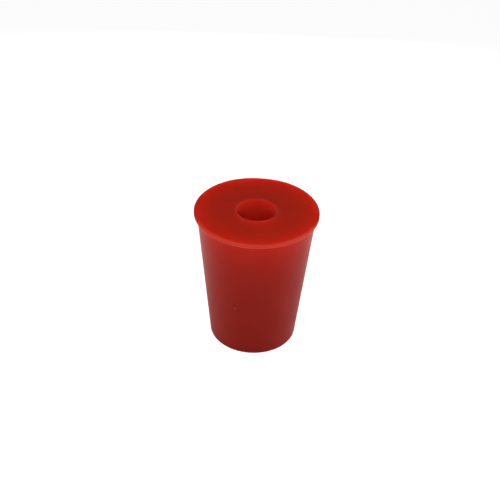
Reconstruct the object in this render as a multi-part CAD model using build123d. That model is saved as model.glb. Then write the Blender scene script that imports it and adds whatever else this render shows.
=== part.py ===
"""Tapered laboratory stopper of soft red rubber, with one hole.

The stopper is moulded in one shot, so it is one solid. Its side is a straight taper that wedges
into a glass neck. The large end carries a thin rim, left where the stopper was punched out of the
moulded sheet, and a straight hole for a glass tube runs down the axis from end to end.

Millimetres. The origin is the centre of the small end, and +Z runs up the axis to the large end.
"""
from build123d import *
import os

# Overall sizes: small end x large end x height is how such stoppers are sold.
small_end_diameter = 18.0
large_end_diameter = 24.0
height = 30.0

# The hole for the glass tube.
hole_diameter = 8.0
hole_mouth_radius = 0.3

# The rim: a thin disc that stands out past the taper all round.
rim_overhang = 0.55
rim_thickness = 0.8
rim_top_radius = 0.3
rim_bottom_radius = 0.2
rim_root_radius = 0.35

# The edge of the small end.
small_end_edge_radius = 0.5

# How far the cutter for the hole runs past each end.
cutter_overrun = 1.0

# Two radii that differ by less than this are the same.
same_radius = 0.001


def taper_radius(z):
    """Radius of the straight side at height z, as a line from end to end."""
    small = small_end_diameter / 2
    large = large_end_diameter / 2
    return small + (large - small) * z / height


def outer_profile():
    """Half section of the stopper without its hole, from the axis outwards.

    Each corner is a point (radius, height) and the radius of its rounding.
    """
    rim_radius = large_end_diameter / 2 + rim_overhang
    rim_underside = height - rim_thickness
    corners = [
        ((0, 0), 0),
        ((taper_radius(0), 0), small_end_edge_radius),
        ((taper_radius(rim_underside), rim_underside), rim_root_radius),
        ((rim_radius, rim_underside), rim_bottom_radius),
        ((rim_radius, height), rim_top_radius),
        ((0, height), 0),
    ]
    outline = FilletPolyline(
        *[(r, 0, z) for (r, z), _ in corners],
        radius=[rounding for _, rounding in corners],
        close=True,
    )
    return make_face(outline)


def moulded_plug():
    """The tapered plug and its rim, turned once round the axis."""
    return revolve(outer_profile(), axis=Axis.Z, revolution_arc=360)


def tube_hole():
    """The cutter for the hole: straight, on the axis, and longer than the stopper."""
    cutter = Cylinder(hole_diameter / 2, height + 2 * cutter_overrun)
    return Pos(0, 0, height / 2) * cutter


def round_hole_mouths(body):
    """Round both mouths of the hole, so that a tube starts without tearing them."""
    mouths = [
        edge
        for edge in body.edges().filter_by(GeomType.CIRCLE)
        if abs(edge.radius - hole_diameter / 2) < same_radius
    ]
    return fillet(mouths, hole_mouth_radius)


def stopper_body():
    """The whole stopper: plug and rim, bored from end to end."""
    return round_hole_mouths(moulded_plug() - tube_hole())


os.makedirs("parts", exist_ok=True)
export_step(stopper_body(), "parts/stopper_body.step")
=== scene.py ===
"""A bored laboratory stopper of soft red rubber, standing on its small end on a white table."""
import math

import bpy
import numpy as np
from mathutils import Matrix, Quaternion, Vector


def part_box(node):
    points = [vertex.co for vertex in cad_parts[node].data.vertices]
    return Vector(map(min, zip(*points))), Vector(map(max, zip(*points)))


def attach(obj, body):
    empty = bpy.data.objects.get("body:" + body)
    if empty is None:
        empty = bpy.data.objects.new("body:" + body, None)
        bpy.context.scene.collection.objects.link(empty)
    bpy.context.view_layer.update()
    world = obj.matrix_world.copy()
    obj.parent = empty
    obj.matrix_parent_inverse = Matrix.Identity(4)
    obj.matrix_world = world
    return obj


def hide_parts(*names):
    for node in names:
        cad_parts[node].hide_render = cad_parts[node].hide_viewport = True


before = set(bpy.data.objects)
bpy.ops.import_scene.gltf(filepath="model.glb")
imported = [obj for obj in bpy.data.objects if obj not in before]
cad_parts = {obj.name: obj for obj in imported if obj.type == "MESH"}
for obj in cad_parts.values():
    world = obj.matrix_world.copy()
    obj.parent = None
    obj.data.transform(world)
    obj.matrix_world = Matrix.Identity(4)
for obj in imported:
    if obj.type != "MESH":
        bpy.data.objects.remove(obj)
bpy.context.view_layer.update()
low, high = (Vector(corner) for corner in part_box("stopper_body"))
MM = 0.001

# The stopper's section, in metres. Its height and its rim come from the CAD body's box.
HEIGHT = high.z - low.z
RIM_RADIUS = (high.x - low.x) / 2
SMALL_END_RADIUS = 9.0 * MM
LARGE_END_RADIUS = 12.0 * MM
HOLE_RADIUS = 4.0 * MM
HOLE_MOUTH_ROUNDING = 0.3 * MM
RIM_THICKNESS = 0.8 * MM
RIM_TOP_ROUNDING = 0.3 * MM
RIM_BOTTOM_ROUNDING = 0.2 * MM
RIM_ROOT_ROUNDING = 0.35 * MM
SMALL_END_ROUNDING = 0.5 * MM

# The moulding pip: a pinhead of rubber left on the side.
PIP_HEIGHT = 12.55 * MM
PIP_ANGLE = math.radians(-110.5)
PIP_RADIUS = 0.36 * MM
PIP_RISE = 0.2 * MM
PIP_REACH = 2.2 * PIP_RADIUS

# The rim's edge runs a little flat across the back, where it was trimmed closer.
TRIM_ANGLE = math.radians(87)
TRIM_SPREAD = math.radians(20)
TRIM_DEPTH = 0.25 * MM

# The slow unevenness of the moulded side.
RIPPLE = 0.02 * MM

# How far in from the rim the painted glow fades, as the length of an exponential. The glow stands for light
# coming through the rubber near the rim.
PAINTED_GLOW_LENGTH = 4.5 * MM

# The height that the lamps face.
LAMP_AIM_HEIGHT = 20 * MM

# How finely the surface is divided.
STEPS_ROUND = 250
STEPS_ALONG_RUN = (26, 6, 6, 96, 26, 60)
STEPS_IN_ROUNDING = 8
STEPS_OVER_PIP = 20


def linear(hex_colour):
    """The linear RGBA of an sRGB colour written as six hex digits."""
    channels = np.array([int(hex_colour[i:i + 2], 16) / 255 for i in (0, 2, 4)])
    curved = ((channels + 0.055) / 1.055) ** 2.4
    return (*np.where(channels <= 0.04045, channels / 12.92, curved).tolist(), 1.0)


# ---------------------------------------------------------------- the moulded surface

def rounded_corner(before, corner, after, radius):
    """Points of the arc that rounds a corner: an arc of the given radius, tangent to both edges."""
    to_before = (before - corner) / np.linalg.norm(before - corner)
    to_after = (after - corner) / np.linalg.norm(after - corner)
    half_angle = math.acos(float(to_before @ to_after)) / 2
    bisector = (to_before + to_after) / np.linalg.norm(to_before + to_after)
    centre = corner + bisector * radius / math.sin(half_angle)
    first = corner + to_before * radius / math.tan(half_angle) - centre
    last = corner + to_after * radius / math.tan(half_angle) - centre
    share = np.linspace(0, 1, STEPS_IN_ROUNDING + 1)[:, None]
    sweep = math.pi - 2 * half_angle
    return centre + (np.sin((1 - share) * sweep) * first + np.sin(share * sweep) * last) / math.sin(sweep)


def eased_run(start, end, steps):
    """Points between two ends of a straight run, closer together near the ends, without the ends."""
    share = (1 - np.cos(np.linspace(0, math.pi, steps + 1))) / 2
    return start + share[1:-1, None] * (end - start)


def section():
    """The closed section as (radius, height) points: six rounded corners joined by straight runs.

    It goes from the hole's upper mouth out over the large end, round the rim, down the taper, in
    under the small end and up the hole.
    """
    taper = (LARGE_END_RADIUS - SMALL_END_RADIUS) / HEIGHT
    underside = HEIGHT - RIM_THICKNESS
    corners = np.array([
        (HOLE_RADIUS, HEIGHT),
        (RIM_RADIUS, HEIGHT),
        (RIM_RADIUS, underside),
        (SMALL_END_RADIUS + taper * underside, underside),
        (SMALL_END_RADIUS, 0),
        (HOLE_RADIUS, 0),
    ])
    roundings = [HOLE_MOUTH_ROUNDING, RIM_TOP_ROUNDING, RIM_BOTTOM_ROUNDING,
                 RIM_ROOT_ROUNDING, SMALL_END_ROUNDING, HOLE_MOUTH_ROUNDING]
    arcs = [
        rounded_corner(before, corner, after, radius)
        for before, corner, after, radius
        in zip(np.roll(corners, 1, axis=0), corners, np.roll(corners, -1, axis=0), roundings)
    ]
    pieces = []
    for arc, next_arc, steps in zip(arcs, arcs[1:] + arcs[:1], STEPS_ALONG_RUN):
        pieces += [arc, eased_run(arc[-1], next_arc[0], steps)]
    return np.concatenate(pieces)


def angles_round():
    """Angles round the axis: even steps, with finer ones over the pip."""
    even = np.linspace(-math.pi, math.pi, STEPS_ROUND, endpoint=False)
    reach = PIP_REACH / (SMALL_END_RADIUS + LARGE_END_RADIUS) * 2
    fine = PIP_ANGLE + np.linspace(-reach, reach, STEPS_OVER_PIP)
    outside = np.abs(even - PIP_ANGLE) > reach + math.pi / STEPS_ROUND
    return np.sort(np.concatenate([even[outside], fine]))


def with_fine_heights(points):
    """The section with extra points on the taper where the pip stands."""
    taper = (LARGE_END_RADIUS - SMALL_END_RADIUS) / HEIGHT
    fine_z = np.linspace(PIP_HEIGHT + PIP_REACH, PIP_HEIGHT - PIP_REACH, STEPS_OVER_PIP)
    fine = np.column_stack([SMALL_END_RADIUS + taper * fine_z, fine_z])
    on_side = points[:, 0] > (HOLE_RADIUS + SMALL_END_RADIUS) / 2
    above = np.flatnonzero(on_side & (points[:, 1] > PIP_HEIGHT + PIP_REACH)).max()
    below = np.flatnonzero(on_side & (points[:, 1] < PIP_HEIGHT - PIP_REACH)).min()
    return np.concatenate([points[:above + 1], fine, points[below:]])


def moulded_stopper():
    """The whole skin: the section carried once round the axis, closed both ways like a ring.

    A point of the section (r, z) at angle a goes to (r cos a, r sin a, z). The radius loses a slow
    ripple of a few hundredths of a millimetre, and gains the pip as a smooth round hill. The lip
    beyond the taper gives way where the edge was trimmed closer, by a bell curve of the angle.
    """
    points = with_fine_heights(section())
    angle = angles_round()
    r = np.repeat(points[:, :1], len(angle), axis=1)
    z = np.repeat(points[:, 1:], len(angle), axis=1)
    a = np.repeat(angle[None, :], len(points), axis=0)
    ripple = RIPPLE * (2 + np.cos(2 * a + 0.7) + np.cos(5 * a + 2.1)) / 4
    outside = r > (HOLE_RADIUS + SMALL_END_RADIUS) / 2
    arc = (a - PIP_ANGLE) * r
    away = np.sqrt(arc ** 2 + (z - PIP_HEIGHT) ** 2) / PIP_RADIUS
    hill = PIP_RISE * np.exp(-away ** 2) - 0.25 * PIP_RISE * np.exp(-((away - 1.6) / 0.5) ** 2)
    on_lip = np.clip((r - LARGE_END_RADIUS) / (RIM_RADIUS - LARGE_END_RADIUS), 0, 1)
    trimmed = TRIM_DEPTH * on_lip * np.exp(-((a - TRIM_ANGLE) / TRIM_SPREAD) ** 2)
    r = r + np.where(outside, hill - ripple * r / RIM_RADIUS, 0) - trimmed
    verts = np.stack([r * np.cos(a), r * np.sin(a), z + low.z], axis=-1).reshape(-1, 3)
    rows, columns = len(points), len(angle)
    index = np.arange(rows * columns).reshape(rows, columns)
    down = np.roll(index, -1, axis=0)
    faces = np.stack([index, down, np.roll(down, -1, axis=1), np.roll(index, -1, axis=1)], axis=-1)
    mesh = bpy.data.meshes.new("moulded_stopper")
    mesh.from_pydata(verts.tolist(), [], faces.reshape(-1, 4).tolist())
    mesh.shade_smooth()
    piece = bpy.data.objects.new("moulded_stopper", mesh)
    bpy.context.collection.objects.link(piece)
    return piece


# ---------------------------------------------------------------- materials

def add(tree, kind, inputs, **settings):
    """Add a node with its settings; each input is a value, or another node's output to link."""
    made = tree.nodes.new(kind)
    for name, value in settings.items():
        setattr(made, name, value)
    for name, value in inputs.items():
        if isinstance(value, bpy.types.NodeSocket):
            tree.links.new(value, made.inputs[name])
        else:
            made.inputs[name].default_value = value
    return made


def new_material(name):
    """An empty node material and its output node."""
    material = bpy.data.materials.new(name)
    material.use_nodes = True
    material.node_tree.nodes.clear()
    return material, add(material.node_tree, "ShaderNodeOutputMaterial", {})


def moulded_red_rubber():
    """Press-moulded red rubber: satin and slightly translucent.

    Light and shade are painted into the colour. A painted glow makes it brightest near the rim, where
    red light seeps out because the rubber is narrow there, and deepest in the middle; the hole is painted
    brighter deeper down, and the side a little darker than the top, as painted shade. The rim's edge has
    a painted highlight in front, brighter lower down, and painted shade behind; each mouth of the hole
    has a ring of painted shade, and the pip a painted highlight with a ring of painted shade. The side is
    smoothest by the rim and rougher lower down, the ends are matt, and the hole is the roughest.
    """
    material, output = new_material("moulded_red_rubber")
    tree = material.node_tree
    place = add(tree, "ShaderNodeTexCoord", {}).outputs["Object"]
    along = add(tree, "ShaderNodeSeparateXYZ", {"Vector": place})
    across = add(tree, "ShaderNodeVectorMath", {0: place, 1: (1, 1, 0)}, operation="MULTIPLY")
    radius = add(tree, "ShaderNodeVectorMath", {0: across.outputs["Vector"]}, operation="LENGTH")
    height = add(tree, "ShaderNodeMath", {0: along.outputs["Z"], 1: high.z}, operation="SUBTRACT")
    inward = add(tree, "ShaderNodeMath", {0: radius.outputs["Value"], 1: RIM_RADIUS}, operation="SUBTRACT")
    offset = add(tree, "ShaderNodeCombineXYZ", {"X": inward.outputs["Value"], "Y": height.outputs["Value"]})
    # Painted glow: the colour is painted brighter near the rim's top edge, falling off with distance from it,
    # to stand for light coming through the rubber there.
    from_rim = add(tree, "ShaderNodeVectorMath", {0: offset.outputs["Vector"]}, operation="LENGTH")
    decay = add(tree, "ShaderNodeMath", {
        0: from_rim.outputs["Value"],
        1: -1 / PAINTED_GLOW_LENGTH,
    }, operation="MULTIPLY")
    painted_glow = add(tree, "ShaderNodeMath", {0: decay.outputs["Value"]}, operation="EXPONENT")

    on_side = add(tree, "ShaderNodeMapRange", {
        "Value": height.outputs["Value"],
        "From Min": -0.05 * MM,
        "From Max": -0.35 * MM,
    }, interpolation_type="SMOOTHSTEP")
    # Painted shade: the side's base colour is set a little darker than the top's.
    base_with_shaded_side = add(tree, "ShaderNodeMix", {
        "Factor": on_side.outputs["Result"],
        "A": linear("9D1D0E"),
        "B": linear("901D14"),
    }, data_type="RGBA")
    # The colour of the painted glow, on the top and on the side.
    painted_glow_tint = add(tree, "ShaderNodeMix", {
        "Factor": on_side.outputs["Result"],
        "A": linear("B71D0B"),
        "B": linear("B91E14"),
    }, data_type="RGBA")
    # The base colour with the painted glow mixed in.
    with_painted_glow = add(tree, "ShaderNodeMix", {
        "Factor": painted_glow.outputs["Value"],
        "A": base_with_shaded_side.outputs["Result"],
        "B": painted_glow_tint.outputs["Result"],
    }, data_type="RGBA")

    # The rim's edge is painted with light and shade: a painted highlight in front, brighter lower down the
    # edge, and painted shade behind.
    at_edge = add(tree, "ShaderNodeMapRange", {
        "Value": inward.outputs["Value"],
        "From Min": -0.55 * MM,
        "From Max": -0.25 * MM,
    }, interpolation_type="SMOOTHSTEP")
    behind = add(tree, "ShaderNodeMapRange", {
        "Value": along.outputs["Y"],
        "From Min": -7 * MM,
        "From Max": -2 * MM,
    }, interpolation_type="SMOOTHSTEP")
    brighter_down_rim_edge = add(tree, "ShaderNodeMapRange", {
        "Value": height.outputs["Value"],
        "From Min": -RIM_TOP_ROUNDING,
        "From Max": -RIM_THICKNESS,
    }, interpolation_type="SMOOTHSTEP")
    painted_front_edge_highlight = add(tree, "ShaderNodeMix", {
        "Factor": brighter_down_rim_edge.outputs["Result"],
        "A": linear("B0382A"),
        "B": linear("D04638"),
    }, data_type="RGBA")
    painted_rim_edge_light_and_shade = add(tree, "ShaderNodeMix", {
        "Factor": behind.outputs["Result"],
        "A": painted_front_edge_highlight.outputs["Result"],
        "B": linear("7E261A"),
    }, data_type="RGBA")
    # The colour with the painted highlight and shade of the rim's edge mixed in.
    trimmed = add(tree, "ShaderNodeMix", {
        "Factor": at_edge.outputs["Result"],
        "A": with_painted_glow.outputs["Result"],
        "B": painted_rim_edge_light_and_shade.outputs["Result"],
    }, data_type="RGBA")
    # Painted shade: a darker ring round each mouth of the hole.
    painted_shade_by_mouth = add(tree, "ShaderNodeMapRange", {
        "Value": radius.outputs["Value"],
        "From Min": HOLE_RADIUS + 0.8 * MM,
        "From Max": HOLE_RADIUS + 0.4 * MM,
    }, interpolation_type="SMOOTHSTEP")
    with_painted_mouth_shade = add(tree, "ShaderNodeMix", {
        "Factor": painted_shade_by_mouth.outputs["Result"],
        "A": trimmed.outputs["Result"],
        "B": linear("862820"),
    }, data_type="RGBA")
    in_hole = add(tree, "ShaderNodeMapRange", {
        "Value": radius.outputs["Value"],
        "From Min": HOLE_RADIUS + HOLE_MOUTH_ROUNDING,
        "From Max": HOLE_RADIUS,
    }, interpolation_type="SMOOTHSTEP")
    # Painted light in the hole: its wall is painted brighter deeper down, against the shade there.
    painted_light_down_hole = add(tree, "ShaderNodeMapRange", {
        "Value": height.outputs["Value"],
        "From Min": 0.0,
        "From Max": -6 * MM,
    })
    hole_wall_painted_light = add(tree, "ShaderNodeMix", {
        "Factor": painted_light_down_hole.outputs["Result"],
        "A": linear("BC2012"),
        "B": linear("EA3C2C"),
    }, data_type="RGBA")
    bored = add(tree, "ShaderNodeMix", {
        "Factor": in_hole.outputs["Result"],
        "A": with_painted_mouth_shade.outputs["Result"],
        "B": hole_wall_painted_light.outputs["Result"],
    }, data_type="RGBA")

    side_radius = SMALL_END_RADIUS + (LARGE_END_RADIUS - SMALL_END_RADIUS) * PIP_HEIGHT / HEIGHT
    pip_place = (side_radius * math.cos(PIP_ANGLE), side_radius * math.sin(PIP_ANGLE), low.z + PIP_HEIGHT)
    from_pip = add(tree, "ShaderNodeVectorMath", {0: place, 1: pip_place}, operation="DISTANCE")
    off_pip = add(tree, "ShaderNodeMapRange", {
        "Value": from_pip.outputs["Value"],
        "From Max": 2.5 * PIP_RADIUS,
    })
    # What the colour is multiplied by: a painted highlight on the pip, painted shade in the ring round it,
    # then unchanged.
    pip_painted_light_ramp = add(tree, "ShaderNodeValToRGB", {"Fac": off_pip.outputs["Result"]})
    pip_painted_light_ramp.color_ramp.elements[0].color = (1.35, 2.4, 2.6, 1)
    pip_painted_light_ramp.color_ramp.elements[1].color = (1, 1, 1, 1)
    ring = pip_painted_light_ramp.color_ramp.elements.new(0.55)
    ring.color = (0.8, 0.8, 0.8, 1)
    with_painted_pip_light = add(tree, "ShaderNodeVectorMath", {
        0: bored.outputs["Result"],
        1: pip_painted_light_ramp.outputs["Color"],
    }, operation="MULTIPLY")

    clouds = add(tree, "ShaderNodeTexNoise", {"Vector": place, "Scale": 1 / (6 * MM), "Detail": 3.0})
    shade = add(tree, "ShaderNodeMapRange", {
        "Value": clouds.outputs["Fac"],
        "From Min": 0.3,
        "From Max": 0.7,
        "To Min": 0.96,
        "To Max": 1.04,
    })
    mottled = add(tree, "ShaderNodeVectorMath", {
        0: with_painted_pip_light.outputs["Vector"],
        "Scale": shade.outputs["Result"],
    }, operation="SCALE")

    side_roughness = add(tree, "ShaderNodeMapRange", {
        "Value": height.outputs["Value"],
        "From Min": 0.0,
        "From Max": -HEIGHT,
        "To Min": 0.36,
        "To Max": 0.55,
    })
    skin_roughness = add(tree, "ShaderNodeMix", {
        "Factor": on_side.outputs["Result"],
        "A": 0.7,
        "B": side_roughness.outputs["Result"],
    }, data_type="FLOAT")
    roughness = add(tree, "ShaderNodeMix", {
        "Factor": in_hole.outputs["Result"],
        "A": skin_roughness.outputs["Result"],
        "B": 1.0,
    }, data_type="FLOAT")
    handled = add(tree, "ShaderNodeMath", {
        0: roughness.outputs["Result"],
        1: shade.outputs["Result"],
    }, operation="DIVIDE")

    grain = add(tree, "ShaderNodeTexNoise", {"Vector": place, "Scale": 1 / (0.25 * MM), "Detail": 2.0})
    relief = add(tree, "ShaderNodeBump", {
        "Height": grain.outputs["Fac"],
        "Strength": 0.15,
        "Distance": 0.02 * MM,
    })
    rubber = add(tree, "ShaderNodeBsdfPrincipled", {
        "Base Color": mottled.outputs["Vector"],
        "Roughness": handled.outputs["Value"],
        "IOR": 1.5,
        "Specular IOR Level": 0.06,
        "Subsurface Weight": 1.0,
        "Subsurface Radius": (1.0, 0.15, 0.08),
        "Subsurface Scale": 6 * MM,
        "Normal": relief.outputs["Normal"],
    })
    tree.links.new(rubber.outputs["BSDF"], output.inputs["Surface"])
    return material


def seen_directly(tree):
    """1 for a ray from the camera, off a gloss or through glass, and 0 for the light that falls on things."""
    path = add(tree, "ShaderNodeLightPath", {})
    camera_or_gloss = add(tree, "ShaderNodeMath", {
        0: path.outputs["Is Camera Ray"],
        1: path.outputs["Is Glossy Ray"],
    }, operation="MAXIMUM")
    return add(tree, "ShaderNodeMath", {
        0: camera_or_gloss.outputs["Value"],
        1: path.outputs["Is Transmission Ray"],
    }, operation="MAXIMUM").outputs["Value"]


def white_table():
    """A matt white table top. It shows as white and keeps a soft shadow, and throws little light back up."""
    material, output = new_material("white_table")
    tree = material.node_tree
    matt = add(tree, "ShaderNodeBsdfDiffuse", {"Color": linear("A0A0A0")})
    glow = add(tree, "ShaderNodeEmission", {"Color": linear("FFFFFF"), "Strength": 0.84})
    lit = add(tree, "ShaderNodeAddShader", {0: matt.outputs["BSDF"], 1: glow.outputs["Emission"]})
    choice = add(tree, "ShaderNodeMixShader", {
        "Fac": seen_directly(tree),
        1: matt.outputs["BSDF"],
        2: lit.outputs["Shader"],
    })
    tree.links.new(choice.outputs["Shader"], output.inputs["Surface"])
    return material


# ---------------------------------------------------------------- table, light and camera

def table():
    """A wide flat table top at the height that the stopper stands on."""
    half = 2.0
    mesh = bpy.data.meshes.new("table")
    corners = [(-half, -half, low.z), (half, -half, low.z), (half, half, low.z), (-half, half, low.z)]
    mesh.from_pydata(corners, [], [(0, 1, 2, 3)])
    mesh.materials.append(white_table())
    top = bpy.data.objects.new("table", mesh)
    bpy.context.collection.objects.link(top)


def white_room():
    """White surroundings up to a little over eye level, under a dark ceiling, and a soft light all round."""
    world = bpy.data.worlds.new("white_room")
    bpy.context.scene.world = world
    world.use_nodes = True
    tree = world.node_tree
    tree.nodes.clear()
    light = add(tree, "ShaderNodeBackground", {"Color": linear("FFFFFF"), "Strength": 0.35})
    sky = add(tree, "ShaderNodeSeparateXYZ", {
        "Vector": add(tree, "ShaderNodeTexCoord", {}).outputs["Generated"],
    })
    brightness = add(tree, "ShaderNodeMapRange", {
        "Value": sky.outputs["Z"],
        "From Min": math.sin(math.radians(16)),
        "From Max": math.sin(math.radians(34)),
        "To Min": 1.0,
        "To Max": 0.02,
    }, interpolation_type="SMOOTHSTEP")
    seen = add(tree, "ShaderNodeBackground", {
        "Color": linear("FFFFFF"),
        "Strength": brightness.outputs["Result"],
    })
    choice = add(tree, "ShaderNodeMixShader", {
        "Fac": seen_directly(tree),
        1: light.outputs["Background"],
        2: seen.outputs["Background"],
    })
    output = add(tree, "ShaderNodeOutputWorld", {"Surface": choice.outputs["Shader"]})
    output.is_active_output = True


def soft_lamp(name, azimuth, elevation, distance, width, power):
    """A square soft lamp that faces the stopper. Azimuth 0 is the camera's side, and 90 the right."""
    turn, rise = math.radians(azimuth), math.radians(elevation)
    away = Vector((math.sin(turn) * math.cos(rise), -math.cos(turn) * math.cos(rise), math.sin(rise)))
    data = bpy.data.lights.new(name, "AREA")
    data.size = width
    data.energy = power
    lamp = bpy.data.objects.new(name, data)
    lamp.visible_glossy = False
    lamp.location = Vector((0, 0, low.z + LAMP_AIM_HEIGHT)) + away * distance
    lamp.rotation_mode = "QUATERNION"
    lamp.rotation_quaternion = (-away).to_track_quat("-Z", "Y")
    bpy.context.collection.objects.link(lamp)


def lamps():
    """Near lamps in front and at both sides, so that the light falls off down the side, and one behind."""
    soft_lamp("front_lamp", 0, 26, 70 * MM, 40 * MM, 0.029)
    soft_lamp("right_lamp", 90, 15, 80 * MM, 40 * MM, 0.029)
    soft_lamp("left_lamp", 270, 15, 80 * MM, 40 * MM, 0.0245)
    soft_lamp("back_lamp", 180, 15, 150 * MM, 60 * MM, 0.155)


def camera():
    """A camera in front and above, aimed a little over the stopper's middle and rolled slightly."""
    middle = Vector((0, 0, (low.z + high.z) / 2))
    elevation = math.radians(36.43)
    distance = 201.1 * MM
    aim = middle + Vector((-1.08, 0, 5.12)) * MM
    roll = math.radians(1.93)
    data = bpy.data.cameras.new("camera")
    data.lens = 69.75
    data.clip_start = 1 * MM
    view = bpy.data.objects.new("camera", data)
    view.location = middle + distance * Vector((0, -math.cos(elevation), math.sin(elevation)))
    view.rotation_mode = "QUATERNION"
    towards = (aim - view.location).to_track_quat("-Z", "Y")
    view.rotation_quaternion = towards @ Quaternion((0, 0, 1), roll)
    bpy.context.collection.objects.link(view)
    bpy.context.scene.camera = view


stopper = moulded_stopper()
stopper.data.materials.append(moulded_red_rubber())
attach(stopper, "root")
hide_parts("stopper_body")

table()
white_room()
lamps()
camera()
bpy.context.scene.view_settings.view_transform = "Standard"
